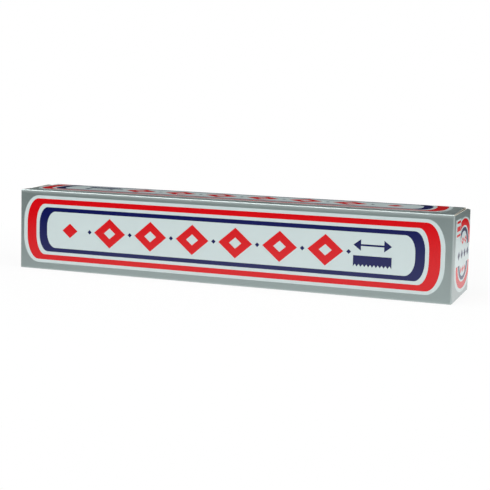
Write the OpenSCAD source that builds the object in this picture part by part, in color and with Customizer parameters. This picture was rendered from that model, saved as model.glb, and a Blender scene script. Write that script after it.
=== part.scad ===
/* [Foil roll] */
// Width of the foil web, which sets the length of the roll
foil_width = 300; // [200:1:450]
// Length of foil wound on the core
foil_length = 50000; // [20000:500:80000]
// Thickness of the foil
foil_t = 0.013; // [0.009:0.001:0.02]
// Room that the air between the turns takes, as a factor on the foil's volume
wind_factor = 1.08; // [1:0.01:1.2]
// Bore of the paper core
core_bore = 30; // [24:0.5:40]
// Wall of the paper core
core_wall = 2.5; // [1.5:0.1:4]
// How far the core stands out of the foil at each end
core_overhang = 1; // [0.3:0.1:4]
// Radial clearance between the core and the first turn
wind_clear = 0.02; // [0.01:0.01:0.1]
// Number of fine ridges that the turns leave on each end face
turn_ridges = 9; // [3:1:16]
// Height of those ridges
ridge_h = 0.2; // [0.1:0.05:0.4]
// Height of the step at the loose end of the foil
loose_step = 0.12; // [0.08:0.01:0.3]
// Place of the loose end around the roll, up from the rear
loose_turn = 50; // [0:5:90]

/* [Carton] */
// Thickness of the card
card_t = 0.5; // [0.4:0.05:0.7]
// Outer radius of a folded edge
fold_r = 1.1; // [0.7:0.1:2]
// Room between the roll and the wall on each side
side_room = 2.5; // [1:0.1:8]
// Room between the roll and the closed lid
head_room = 9.3; // [6:0.1:20]
// Room between the core and the end closure
end_room = 1.5; // [0.5:0.1:5]
// Clearance under the resting roll
rest_clear = 0.05; // [0.02:0.01:0.2]
// How far the rear wall ends below the top of the lid
mouth_drop = 3; // [2:0.5:12]

/* [End flaps] */
// How far the free edge of an outer end flap stands off
flap_splay = 2.8; // [0:0.1:4]
// How far an outer flap ends short of the lid's back face
flap_back_clear = 0.5; // [0.3:0.1:4]
// How far an outer flap ends below the lid's top face
flap_top_clear = 0.6; // [0.55:0.05:2]
// How far an outer flap ends above the base at its fold
flap_low_clear = 0.4; // [0.3:0.1:2]
// Rise of an outer flap towards its free end, as it is glued a little askew
flap_skew = 1.2; // [0:0.1:3]
// Length of the cut at an outer flap's free upper corner
flap_cut = 10.5; // [3:0.5:16]
// Depth of that cut at the free end
flap_cut_h = 1.6; // [0.5:0.1:4]
// Cut corner of a flap
flap_corner = 1.5; // [0.5:0.1:4]
// Height of the bottom flap in the end closure
bottom_flap_h = 38; // [20:1:44]
// Width of the dust flap in the end closure
dust_flap_w = 36; // [20:1:44]
// Slit between the cut edge of an inner flap and the wall beside it
flap_slit = 0.4; // [0.2:0.1:1]

/* [Lid and cutter] */
// Height of the lip that hangs over the rear wall
lip_h = 38; // [20:1:44]
// Corner radius of the lip
lip_corner = 3; // [1:0.5:6]
// Clearance between the cutter and the rear wall
lip_clear = 0.3; // [0.2:0.05:1]
// How far the lid ends short of each end fold
lid_end_clear = 0.5; // [0.5:0.1:1.5]
// Gap in the hinge crease between lid and tray
crease_gap = 0.03; // [0.02:0.01:0.1]
// Height of the cutter strip, teeth included
blade_w = 9; // [6:0.5:14]
// Thickness of the cutter strip
blade_t = 0.25; // [0.15:0.05:0.4]
// How far the cutter strip ends short of each end of the lid
blade_end_clear = 4; // [2:0.5:12]
// Pitch of the cutter's teeth
tooth_pitch = 2; // [1.5:0.1:4]
// Depth of the cutter's teeth
tooth_h = 1.4; // [0.8:0.1:2.5]
// How far the tooth roots lie below the edge of the lip
tooth_drop = 0.2; // [0:0.1:1]

/* [Print] */
// Thickness of a printed field
ink_t = 0.05; // [0.03:0.01:0.1]
// Left margin of the ring on the front wall
ring_left = 3; // [1.5:0.1:8]
// Right margin of the ring on the front wall
ring_right = 5; // [1.5:0.1:8]
// Top margin of the ring on the front wall
ring_top = 3.5; // [2:0.1:6]
// Bottom margin of the ring on the front wall
ring_low = 5; // [2:0.1:7]
// Left margin of the ring on the lid, which is printed a little off centre
lid_ring_left = 0.3; // [0.1:0.1:4]
// Distance from the front face to the ring on the lid
lid_ring_start = 12; // [8:0.5:20]
// Width of the white outline along the ring
outline_w = 2.2; // [1:0.1:3]
// Width of the white outline across the ends of the ring
outline_end_w = 2.8; // [1:0.1:4]
// Width of the red band along the ring
red_w = 3.7; // [2:0.1:6]
// Width of the red band across the ends of the ring
red_end_w = 7.3; // [4:0.1:10]
// Width of the white line inside the red band
line_w = 2.2; // [1:0.1:3]
// Width of that white line across the ends of the ring
line_end_w = 2.4; // [1:0.1:4]
// Width of the navy band along the ring
navy_w = 2.9; // [1:0.1:4]
// Width of the navy band across the ends of the ring
navy_end_w = 6.2; // [3:0.1:9]
// Length of the ring's corner along the panel
corner_x = 12; // [6:0.5:14]
// Height of the ring's corner
corner_y = 18.7; // [10:0.1:20]
// Smallest corner length of the inner bands
corner_min = 6.7; // [3:0.1:8]
// Share of the band height that each corner loses from ring to ring
corner_fade = 0.72; // [0.5:0.01:0.9]
// Room between two lozenges
motif_gap = 7; // [5:0.5:12]
// Width of a lozenge
motif_w = 24; // [14:0.5:25]
// Room above and below a lozenge in the pale panel
motif_margin = 2.6; // [1.5:0.1:6]
// Share of a lozenge that its pale eye takes
motif_eye = 0.36; // [0.2:0.02:0.6]
// Shift of the ornament row from the middle of the panel
motif_shift = -4.5; // [-8:0.5:8]
// Width of the small navy dots between lozenges
dot_w = 3.2; // [2:0.2:4]
// Width of the torn sheet at the end of the row
sheet_w = 25; // [16:1:28]
// Number of teeth along the torn edge of that sheet
sheet_teeth = 10; // [6:1:16]
// Margin of the end ring from the front face
end_ring_front = 5.6; // [4:0.1:12]
// How far the end ring would run past the free edge of its flap
end_ring_bleed = 6.2; // [0:0.1:8]
// Top margin of the end ring
end_ring_top = 4.2; // [3:0.1:7]
// Bottom margin of the end ring
end_ring_low = 3.6; // [3:0.1:7]
// How far the outline of the end ring is printed below its bands
end_outline_drop = 0.6; // [0:0.1:1]
// Height of the white belt across the end ring
belt_h = 11.5; // [6:0.5:14]
// Distance of that belt's lower edge from the base
belt_low = 22; // [19:0.5:24]
// Width of the white plaque above the belt
plaque_w = 16; // [8:0.5:18]

/* [Hidden] */
$fn = 64;

// Roll sizes, from the volume of the foil
core_r = core_bore / 2 + core_wall;
roll_r = sqrt(core_r * core_r + foil_length * foil_t * wind_factor / PI);
core_len = foil_width + 2 * core_overhang;

// Carton sizes, from the roll that it holds
end_layers = 3;
carton_len = core_len + 2 * (end_room + end_layers * card_t);
half_len = carton_len / 2;
tray_room = 2 * (roll_r + side_room);
tray_depth = tray_room + 2 * card_t;
carton_depth = tray_depth + lip_clear + blade_t + card_t;
carton_height = card_t + rest_clear + 2 * roll_r + head_room + card_t;
y_front = -carton_depth / 2;
y_back = carton_depth / 2;
y_rear = y_front + tray_depth;
y_hinge = y_front + fold_r;
rear_top = carton_height - mouth_drop;
lip_low = carton_height - lip_h;
lid_half = half_len - lid_end_clear;
roll_y = (y_front + y_rear) / 2;
roll_z = card_t + rest_clear + roll_r;

// The outer flap turns about the centre of its fold
flap_len = carton_depth - fold_r - flap_back_clear;
flap_turn = asin(flap_splay / flap_len);

// The nested rings, from the outline inwards
side_inset = [0, outline_w, outline_w + red_w, outline_w + red_w + line_w,
              outline_w + red_w + line_w + navy_w];
end_inset = [0, outline_end_w, outline_end_w + red_end_w, outline_end_w + red_end_w + line_end_w,
             outline_end_w + red_end_w + line_end_w + navy_end_w];
corner_steps = 9;
ring_len = carton_len - ring_left - ring_right;
ring_h = carton_height - ring_top - ring_low;
front_ring_x = (ring_left - ring_right) / 2;
front_ring_z = (carton_height - ring_top + ring_low) / 2;
lid_ring_x = lid_ring_left - lid_half + ring_len / 2;
lid_ring_s = lid_ring_start + ring_h / 2;
motif_h = ring_h - 2 * side_inset[4] - 2 * motif_margin;
motif_pitch = motif_w + motif_gap;
row_room = ring_len - 2 * end_inset[4] - 2 * abs(motif_shift);
motif_count = floor(row_room / motif_pitch) - 2;

// The end ring: nested fields by their insets at the sides and at head and foot
end_ring_w = flap_len + fold_r - end_ring_front + end_ring_bleed;
end_ring_h = carton_height - end_ring_top - end_ring_low;
end_ring_u = end_ring_front - fold_r + end_ring_w / 2;
end_ring_z = (carton_height - end_ring_top + end_ring_low) / 2;
end_side_inset = [0, 4, 9.6, 11.1, 15.1];
end_head_inset = [0, 1.6, 6, 7.2, 9.7];
end_corner_y = 14;
belt_y = belt_low - end_ring_z;
end_pale_h = end_ring_h / 2 - end_head_inset[4];

// The plaque above the belt, its red stripes and two faint ones below them
plaque_top_rise = 0.3;
plaque_rise = end_ring_h / 2 - belt_y - belt_h + plaque_top_rise;
stripe_heights = [1.6, 3.2, 1.6];
stripe_left = 3.6;
stripe_right = 1;
stripe_head = 2;
stripe_pitch = 4.25;
faint_stripe_h = 1.1;
faint_stripe_head = 13.6;
faint_stripe_pitch = 2.2;

// Marks on the end: eyed lozenges above the belt, small ones below it, navy ones along it
end_mark_w = 8.2;
end_mark_pitch = 9;
end_mark_share = 0.6;
end_mark_place = 0.4;
end_mark_shift = 1.5;
end_small_w = 5.2;
end_small_pitch = 5.9;
end_small_share = 0.55;
end_small_place = 0.42;
belt_mark_w = 7;
belt_mark_pitch = 9.6;
belt_mark_share = 0.54;
belt_mark_place = 0.56;

// The sign at the end of the ornament row, as shares of a lozenge's height
sheet_top = -0.1;
sheet_low = -0.45;
torn_rise = 0.08;
arrow_mid = 0.23;
arrow_half = 0.18;
shaft_half = 0.03;
arrow_head = 5;

// Sheet distances on the lid: flat top, fold, and lip
top_end = carton_depth - fold_r;
fold_run = fold_r * PI / 2;
fold_slices = 4;

// A rectangle whose corners are quarters of an ellipse
function ring_points(w, h, a, b) = [
    for (q = [0:3], i = [0:corner_steps])
        let (turn = 90 * q + 90 * i / corner_steps,
             side_x = (q == 0 || q == 3) ? 1 : -1,
             side_y = (q < 2) ? 1 : -1)
        [side_x * (w / 2 - a) + a * cos(turn), side_y * (h / 2 - b) + b * sin(turn)]
];

function corner_a(k) = max(corner_min, corner_x - end_inset[k] * 1.04);
function corner_b(k) = corner_y - corner_fade * side_inset[k];

// Half the length of a ring at a height above or below its middle line
function field_half(k, y) =
    let (a = corner_a(k), b = corner_b(k),
         past = max(0, abs(y) - ring_h / 2 + side_inset[k] + b) / b)
    ring_len / 2 - end_inset[k] - a + a * sqrt(max(0, 1 - past * past));

module ring_field(k) {
    polygon(ring_points(ring_len - 2 * end_inset[k], ring_h - 2 * side_inset[k],
                        corner_a(k), corner_b(k)));
}

module ring_band(k) {
    difference() {
        ring_field(k);
        ring_field(k + 1);
    }
}

module end_field(k) {
    wide = end_ring_w - 2 * end_side_inset[k];
    translate([0, k > 0 ? end_outline_drop : 0])
        polygon(ring_points(wide, end_ring_h - 2 * end_head_inset[k], wide / 2 - 0.5,
                            end_corner_y - end_head_inset[k] / 3));
}

module end_band(k) {
    difference() {
        end_field(k);
        end_field(k + 1);
    }
}

// The white belt across the end ring, and the plaque above it at the fold side
module belt() {
    translate([-end_ring_w / 2, belt_y]) square([end_ring_w, belt_h]);
}

module plaque() {
    translate([-end_ring_w / 2, belt_y + belt_h]) square([plaque_w, plaque_rise]);
}

// A plain stripe of the plaque, its middle that far below the plaque's head
module stripe(drop, h) {
    translate([-end_ring_w / 2 + stripe_left, belt_y + belt_h + plaque_rise - drop - h / 2])
        square([plaque_w - stripe_left - stripe_right, h]);
}

module stripes() {
    for (i = [0:2]) stripe(stripe_head + stripe_pitch * i, stripe_heights[i]);
}

module faint_stripes() {
    for (i = [0:2]) stripe(faint_stripe_head + faint_stripe_pitch * i, faint_stripe_h);
}

// Lozenges above and below the belt, and along it
module end_lozenges() {
    above = end_pale_h - belt_y - belt_h;
    below = end_pale_h + belt_y;
    intersection() {
        end_field(4);
        union() {
            for (side = [-1, 1])
                translate([end_mark_shift + side * end_mark_pitch / 2,
                           belt_y + belt_h + end_mark_place * above])
                    difference() {
                        lozenge(end_mark_w, end_mark_share * above);
                        lozenge(end_mark_w * motif_eye, end_mark_share * above * motif_eye);
                    }
            for (i = [-1:1])
                translate([end_small_pitch * i, belt_y - end_small_place * below])
                    lozenge(end_small_w, end_small_share * below);
        }
    }
}

module belt_lozenges() {
    for (i = [-1.5:1.5])
        translate([belt_mark_pitch * i, belt_y + belt_mark_place * belt_h])
            lozenge(belt_mark_w, belt_mark_share * belt_h);
}

// Ornament in the pale panel
function place_x(i) = motif_shift + (i - (motif_count + 1) / 2) * motif_pitch;

module lozenge(w, h) {
    polygon([[-w / 2, 0], [0, -h / 2], [w / 2, 0], [0, h / 2]]);
}

module lozenge_row() {
    for (i = [1:motif_count])
        translate([place_x(i), 0]) difference() {
            lozenge(motif_w, motif_h);
            lozenge(motif_w * motif_eye, motif_h * motif_eye);
        }
    translate([place_x(0), 0]) lozenge(motif_w / 2, motif_h / 2);
}

module dot_row() {
    for (i = [0:motif_count])
        translate([place_x(i + 0.5), 0]) lozenge(dot_w, dot_w);
}

// A torn sheet under its width arrow, as a plain sign of what the carton holds
module sheet_sign() {
    torn = [for (i = [1:2 * sheet_teeth - 1])
        [-sheet_w / 2 + sheet_w * i / (2 * sheet_teeth), sheet_low + (i % 2) * torn_rise]];
    sheet = concat([[-sheet_w / 2, sheet_top], [-sheet_w / 2, sheet_low]], torn,
                   [[sheet_w / 2, sheet_low], [sheet_w / 2, sheet_top]]);
    neck = sheet_w / 2 - arrow_head;
    translate([place_x(motif_count + 1), 0]) {
        polygon([for (point = sheet) [point[0], point[1] * motif_h]]);
        polygon([for (point = [[-neck, shaft_half], [-neck, arrow_half], [-sheet_w / 2, 0],
                               [-neck, -arrow_half], [-neck, -shaft_half],
                               [neck, -shaft_half], [neck, -arrow_half], [sheet_w / 2, 0],
                               [neck, arrow_half], [neck, shaft_half]])
            [point[0], (arrow_mid + point[1]) * motif_h]]);
    }
}

module navy_ornament() {
    dot_row();
    sheet_sign();
}

// Where a flat drawing of the print lies on the body
module on_front() {
    translate([front_ring_x, y_front, front_ring_z]) rotate([90, 0, 0])
        linear_extrude(ink_t) children();
}

module on_flap(side) {
    mirror([side < 0 ? 1 : 0, 0, 0])
        translate([half_len - fold_r, y_hinge, 0]) rotate([0, 0, -flap_turn])
            translate([fold_r, end_ring_u, end_ring_z]) rotate([90, 0, 90])
                linear_extrude(ink_t) intersection() {
                    children();
                    translate([-end_ring_u, -end_ring_z]) flap_shape();
                }
}

// The lid's drawing starts at the front face and reads from the back
module lid_drawing() {
    translate([lid_ring_x, lid_ring_s]) rotate(180) children();
}

module on_top() {
    translate([0, y_front, carton_height]) linear_extrude(ink_t)
        intersection() {
            lid_drawing() children();
            translate([-half_len, 0]) square([carton_len, top_end]);
        }
}

module on_lip() {
    drop = top_end + fold_run;
    translate([0, y_back, carton_height - fold_r]) rotate([-90, 0, 0]) linear_extrude(ink_t)
        translate([0, -drop]) intersection() {
            lid_drawing() children();
            translate([-half_len, drop]) square([carton_len, lip_h - fold_r]);
        }
}

// Where a band crosses the lid's back fold it is a thin skin, cut in slices that follow its curve
module on_back_fold(k) {
    for (i = [0:fold_slices - 1]) {
        y = top_end + fold_run * (i + 0.5) / fold_slices - lid_ring_s;
        outer = field_half(k, y);
        inner = k < 4 ? field_half(k + 1, y) : 0;
        for (side = [-1, 1])
            translate([lid_ring_x + (side > 0 ? inner : -outer), 0, 0])
                fold_skin(outer - inner, 90 - 90 * i / fold_slices, 90 - 90 * (i + 1) / fold_slices);
    }
}

module fold_skin(run, high, low) {
    reach = 2 * fold_r;
    translate([0, y_back - fold_r, carton_height - fold_r])
        rotate([90, 0, 90]) linear_extrude(run)
            intersection() {
                difference() {
                    circle(fold_r + ink_t);
                    circle(fold_r);
                }
                polygon([[0, 0], [reach * cos(low), reach * sin(low)],
                         [reach * cos(high), reach * sin(high)]]);
            }
}

// Sections of the folded card, drawn as depth and height
module quarter_fold(turn) {
    rotate(turn) intersection() {
        difference() {
            circle(fold_r);
            circle(fold_r - card_t);
        }
        square(2 * fold_r);
    }
}

module along_x(run) {
    rotate([90, 0, 90]) linear_extrude(run, center = true) children();
}

module front_section() {
    translate([y_front, fold_r]) square([card_t, carton_height - 2 * fold_r]);
    translate([y_hinge, fold_r]) quarter_fold(180);
}

// The crease under the lid runs on past the front wall, and is cut slantwise at the corners
module hinge_fold() {
    wall_half = half_len - fold_r;
    intersection() {
        along_x(2 * lid_half) translate([y_hinge, carton_height - fold_r]) quarter_fold(90);
        linear_extrude(carton_height)
            polygon([[-wall_half, y_front], [wall_half, y_front], [lid_half, y_hinge], [-lid_half, y_hinge]]);
    }
}

module bottom_section() {
    translate([y_hinge, 0]) square([tray_depth - 2 * fold_r, card_t]);
}

module rear_section() {
    translate([y_rear - fold_r, fold_r]) quarter_fold(270);
    translate([y_rear - card_t, fold_r]) square([card_t, rear_top - fold_r]);
}

module lid_section() {
    panel_run = carton_depth - 2 * fold_r - crease_gap;
    translate([y_hinge + crease_gap, carton_height - card_t]) square([panel_run, card_t]);
    translate([y_back - fold_r, carton_height - fold_r]) quarter_fold(0);
}

// End closure: dust flap from the rear wall, bottom flap, then the outer flap
module flap_outline(w, low, high) {
    c = flap_corner;
    polygon([[0, low], [w - c, low], [w, low + c], [w, high - c], [w - c, high], [0, high]]);
}

module flap_shape() {
    low = flap_low_clear;
    high = carton_height - flap_top_clear;
    cut_high = high + flap_skew * (1 - flap_cut / flap_len);
    polygon([[0, low], [flap_len - flap_corner, low + flap_skew], [flap_len, low + flap_skew + flap_corner],
             [flap_len, cut_high - flap_cut_h], [flap_len - flap_cut, cut_high], [0, high]]);
}

module outer_flap() {
    translate([half_len - fold_r, y_hinge, 0]) {
        translate([0, 0, flap_low_clear + fold_r / 2])
            linear_extrude(carton_height - flap_top_clear - flap_low_clear - fold_r)
                flap_fold();
        rotate([0, 0, -flap_turn]) translate([fold_r - card_t, 0, 0]) rotate([90, 0, 90])
            linear_extrude(card_t) flap_shape();
    }
}

module flap_fold() {
    intersection() {
        difference() {
            circle(fold_r);
            circle(fold_r - card_t);
        }
        polygon([[0, 0], [0, -2 * fold_r], [2 * fold_r, -2 * fold_r],
                 [2 * fold_r * cos(flap_turn), -2 * fold_r * sin(flap_turn)]]);
    }
}

module bottom_flap() {
    face = half_len - card_t;
    room = tray_depth - 2 * card_t - 2 * flap_slit;
    translate([face - fold_r, roll_y, fold_r]) rotate([90, 0, 0])
        linear_extrude(tray_depth - 2 * fold_r, center = true) quarter_fold(270);
    translate([face - card_t, roll_y, fold_r]) rotate([90, 0, 90]) linear_extrude(card_t)
        polygon([[-room / 2 + flap_corner, 0], [room / 2 - flap_corner, 0],
                 [room / 2, flap_corner * 2], [room / 2 - 2 * flap_corner, bottom_flap_h],
                 [-room / 2 + 2 * flap_corner, bottom_flap_h], [-room / 2, flap_corner * 2]]);
}

module dust_flap() {
    face = half_len - 2 * card_t;
    low = card_t + flap_slit;
    translate([face - fold_r, y_rear - fold_r, low + flap_corner])
        linear_extrude(rear_top - low - 2 * flap_corner) quarter_fold(0);
    translate([face - card_t, y_rear - fold_r, 0]) mirror([0, 1, 0]) rotate([90, 0, 90])
        linear_extrude(card_t) flap_outline(dust_flap_w, low, rear_top - flap_slit);
}

module carton_tray() {
    color([0.55, 0.60, 0.60]) {
        along_x(2 * (half_len - fold_r)) front_section();
        hinge_fold();
        along_x(2 * (half_len - card_t - fold_r)) bottom_section();
        along_x(2 * (half_len - 2 * card_t - fold_r)) rear_section();
        for (side = [0, 1]) mirror([side, 0, 0]) {
            outer_flap();
            bottom_flap();
            dust_flap();
        }
    }
}

module lip_outline() {
    c = lip_corner;
    rise = lip_h - fold_r;
    translate([-lid_half, c]) square([2 * lid_half, rise - c]);
    translate([-lid_half + c, 0]) square([2 * (lid_half - c), rise]);
    for (side = [-1, 1]) translate([side * (lid_half - c), c]) circle(c);
}

module carton_lid() {
    color([0.55, 0.60, 0.60]) {
        along_x(2 * lid_half) lid_section();
        translate([0, y_back, lip_low]) rotate([90, 0, 0]) linear_extrude(card_t) lip_outline();
    }
}

// Steel strip inside the lip, its teeth just below the lip's edge
module cutter_blade() {
    room = 2 * (lid_half - blade_end_clear);
    teeth = floor(room / tooth_pitch);
    half = teeth * tooth_pitch / 2;
    root = lip_low - tooth_drop;
    points = concat([[half, root - tooth_h + blade_w], [-half, root - tooth_h + blade_w], [-half, root]],
                    [for (i = [0:teeth - 1], step = [0.5, 1])
                        [-half + (i + step) * tooth_pitch, step == 0.5 ? root - tooth_h : root]]);
    color([0.78, 0.79, 0.80]) translate([0, y_back - card_t, 0]) rotate([90, 0, 0])
        linear_extrude(blade_t) polygon(points);
}

module core_tube() {
    color([0.70, 0.60, 0.47]) translate([0, roll_y, roll_z]) rotate([0, 90, 0]) difference() {
        cylinder(h = core_len, r = core_r, center = true);
        cylinder(h = core_len + 2, r = core_bore / 2, center = true);
    }
}

// Section of the wound foil: the radius falls by one step on the way round to the loose end
spiral_steps = 120;
function spiral_points() = [
    for (i = [0:spiral_steps])
        let (turn = 360 * i / spiral_steps, r = roll_r - loose_step * i / spiral_steps)
        [r * cos(turn), r * sin(turn)]
];

// Half section of the fine ridges that the turns leave on an end face
module ridge_half_section() {
    inner = core_r + wind_clear;
    step = (roll_r - loose_step - ridge_h - inner) / turn_ridges;
    peaks = [for (i = [0:turn_ridges - 1]) each [[inner + i * step, 0], [inner + (i + 0.5) * step, ridge_h]]];
    last = inner + turn_ridges * step;
    polygon(concat(peaks, [[last, 0], [last, -ridge_h], [inner, -ridge_h]]));
}

module foil_roll() {
    body_len = foil_width - 2 * ridge_h;
    color([0.83, 0.84, 0.85]) translate([0, roll_y, roll_z]) rotate([0, 90, 0]) difference() {
        union() {
            rotate([0, 0, 90 + loose_turn]) linear_extrude(body_len, center = true) polygon(spiral_points());
            for (side = [0, 1]) mirror([0, 0, side])
                translate([0, 0, body_len / 2]) rotate_extrude() ridge_half_section();
        }
        cylinder(h = foil_width + 2, r = core_r + wind_clear, center = true);
    }
}

module tray_print_white() {
    color([0.86, 0.90, 0.90]) {
        on_front() ring_band(0);
        on_front() ring_band(2);
        for (side = [-1, 1]) on_flap(side) {
            end_white();
        }
    }
}

module end_white() {
    difference() {
        union() {
            end_band(0);
            end_band(2);
            belt();
            plaque();
        }
        stripes();
        faint_stripes();
        belt_lozenges();
    }
}

module end_cut(k) {
    difference() {
        end_band(k);
        belt();
        plaque();
    }
}

module tray_print_red() {
    color([0.78, 0.06, 0.10]) {
        on_front() ring_band(1);
        on_front() lozenge_row();
        for (side = [-1, 1]) on_flap(side) {
            end_cut(1);
            stripes();
            end_lozenges();
        }
    }
}

module tray_print_navy() {
    color([0.08, 0.10, 0.34]) {
        on_front() ring_band(3);
        on_front() navy_ornament();
        for (side = [-1, 1]) on_flap(side) {
            end_cut(3);
            belt_lozenges();
        }
    }
}

module pale_panel() {
    difference() {
        ring_field(4);
        lozenge_row();
        navy_ornament();
    }
}

module tray_print_pale() {
    color([0.83, 0.88, 0.88]) {
        on_front() pale_panel();
        for (side = [-1, 1]) on_flap(side) {
            difference() {
                end_field(4);
                belt();
                plaque();
                end_lozenges();
            }
            faint_stripes();
        }
    }
}

module lid_print(k) {
    on_top() ring_band(k);
    on_back_fold(k);
    on_lip() ring_band(k);
}

module lid_print_white() {
    color([0.86, 0.90, 0.90]) {
        lid_print(0);
        lid_print(2);
    }
}

module lid_print_red() {
    color([0.78, 0.06, 0.10]) {
        lid_print(1);
        on_top() lozenge_row();
    }
}

module lid_print_navy() {
    color([0.08, 0.10, 0.34]) {
        lid_print(3);
        on_top() navy_ornament();
    }
}

module lid_print_pale() {
    color([0.83, 0.88, 0.88]) {
        on_top() pale_panel();
        on_back_fold(4);
        on_lip() pale_panel();
    }
}

carton_tray();
carton_lid();
cutter_blade();
core_tube();
foil_roll();
tray_print_white();
tray_print_red();
tray_print_navy();
tray_print_pale();
lid_print_white();
lid_print_red();
lid_print_navy();
lid_print_pale();
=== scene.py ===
"""Looks of a kitchen-foil carton: folded card, printed fields, steel cutter and the roll inside."""

from __future__ import annotations

import logging
import math
from dataclasses import dataclass, field
from enum import Enum
from typing import Optional, Sequence, Union

import bmesh
import bpy
from mathutils import Euler, Matrix, Vector, noise

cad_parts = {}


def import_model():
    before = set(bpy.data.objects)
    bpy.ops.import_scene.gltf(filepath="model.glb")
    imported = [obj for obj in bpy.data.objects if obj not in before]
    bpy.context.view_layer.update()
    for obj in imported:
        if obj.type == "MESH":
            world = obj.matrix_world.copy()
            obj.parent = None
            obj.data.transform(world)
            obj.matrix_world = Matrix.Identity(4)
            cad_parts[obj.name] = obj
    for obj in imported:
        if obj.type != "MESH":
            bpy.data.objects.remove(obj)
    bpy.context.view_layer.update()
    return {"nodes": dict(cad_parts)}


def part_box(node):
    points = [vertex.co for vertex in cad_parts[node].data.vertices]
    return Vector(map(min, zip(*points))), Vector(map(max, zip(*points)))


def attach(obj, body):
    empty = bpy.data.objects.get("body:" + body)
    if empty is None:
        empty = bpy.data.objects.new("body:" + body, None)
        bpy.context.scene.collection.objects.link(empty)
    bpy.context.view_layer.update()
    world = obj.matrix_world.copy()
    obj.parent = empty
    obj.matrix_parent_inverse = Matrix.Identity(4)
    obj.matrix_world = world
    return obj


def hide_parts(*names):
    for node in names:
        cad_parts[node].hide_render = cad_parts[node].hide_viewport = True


log = logging.getLogger("foil_carton")

MM = 0.001
# Mesh lines on the flat card: beside each fold, across a panel, round a fold and along the carton.
GUARD = 1.4 * MM
END_GUARD = 1.5 * MM
PANEL_STEPS = 6
FOLD_STEPS = 6
STATION_PITCH = 10 * MM
STATION_COUNT = 16
# Edges of tubes that turn further than this stay sharp.
TUBE_SHARP_DEG = 40.0

Pair = tuple[float, float]
Triple = tuple[float, float, float]
Colour = Triple
Value = Union["Wire", float]
Dot = tuple[Vector, float]


class Face(Enum):
    """Which side of the card a material slot stands for."""

    PRINTED = 0
    RAW = 1
    CUT = 2


class Ink(Enum):
    """Colours of the printed fields, as they end the names of the print nodes."""

    WHITE = "white"
    RED = "red"
    NAVY = "navy"
    PALE = "pale"


class Wire:
    """A node's output that can stand in a Python expression."""

    def __init__(self, graph: "Graph", socket: bpy.types.NodeSocket) -> None:
        """Wraps a socket of that graph."""
        self.graph = graph
        self.socket = socket

    def maths(self, operation: str, *others: Value, clamp: bool = False) -> "Wire":
        """Adds a Math node.

        Args:
            operation: the Math node's operation.
            others: the values after this one.
            clamp: whether the result is kept from 0 to 1.

        Returns:
            The node's result.
        """
        settings = {"operation": operation, "use_clamp": clamp}
        return self.graph.node("ShaderNodeMath", settings, dict(enumerate((self,) + others)))

    def __add__(self, other: Value) -> "Wire":
        """Returns self plus other."""
        return self.maths("ADD", other)

    def __sub__(self, other: Value) -> "Wire":
        """Returns self minus other."""
        return self.maths("SUBTRACT", other)

    def __mul__(self, other: Value) -> "Wire":
        """Returns self times other."""
        return self.maths("MULTIPLY", other)

    def __rsub__(self, other: float) -> "Wire":
        """Returns other minus self."""
        return self.maths("MULTIPLY_ADD", -1.0, other)

    __radd__ = __add__
    __rmul__ = __mul__

    def sibling(self, name: str) -> "Wire":
        """Returns another output of the same node."""
        return Wire(self.graph, self.socket.node.outputs[name])

    def ramp(self, start: float, stop: float) -> "Wire":
        """Returns 0 below start and 1 above stop, straight in between; start may be the larger."""
        return (self - start).maths("DIVIDE", stop - start, clamp=True)


class Graph:
    """A node tree and the one method that adds its nodes."""

    def __init__(self, tree: bpy.types.NodeTree) -> None:
        """Empties the tree and wraps it."""
        self.tree = tree
        tree.nodes.clear()

    def node(self, kind: str, settings: Optional[dict] = None, inputs: Optional[dict] = None,
             output: Union[int, str] = 0) -> Wire:
        """Adds a node.

        Args:
            kind: the node's type name.
            settings: its attributes, set before any input.
            inputs: input name or number to a value, a Wire or None.
            output: name or number of the output that is returned.

        Returns:
            That output.
        """
        made = self.tree.nodes.new(kind)
        for name, value in (settings or {}).items():
            setattr(made, name, value)
        for key, value in (inputs or {}).items():
            if isinstance(value, Wire):
                self.tree.links.new(value.socket, made.inputs[key])
            elif value is not None:
                made.inputs[key].default_value = value
        return Wire(self, made.outputs[output] if made.outputs else made.inputs[0])

    def parts(self, vector: Wire) -> tuple[Wire, ...]:
        """Returns the three parts of a vector."""
        first = self.node("ShaderNodeSeparateXYZ", {}, {0: vector})
        return first, first.sibling("Y"), first.sibling("Z")


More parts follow.
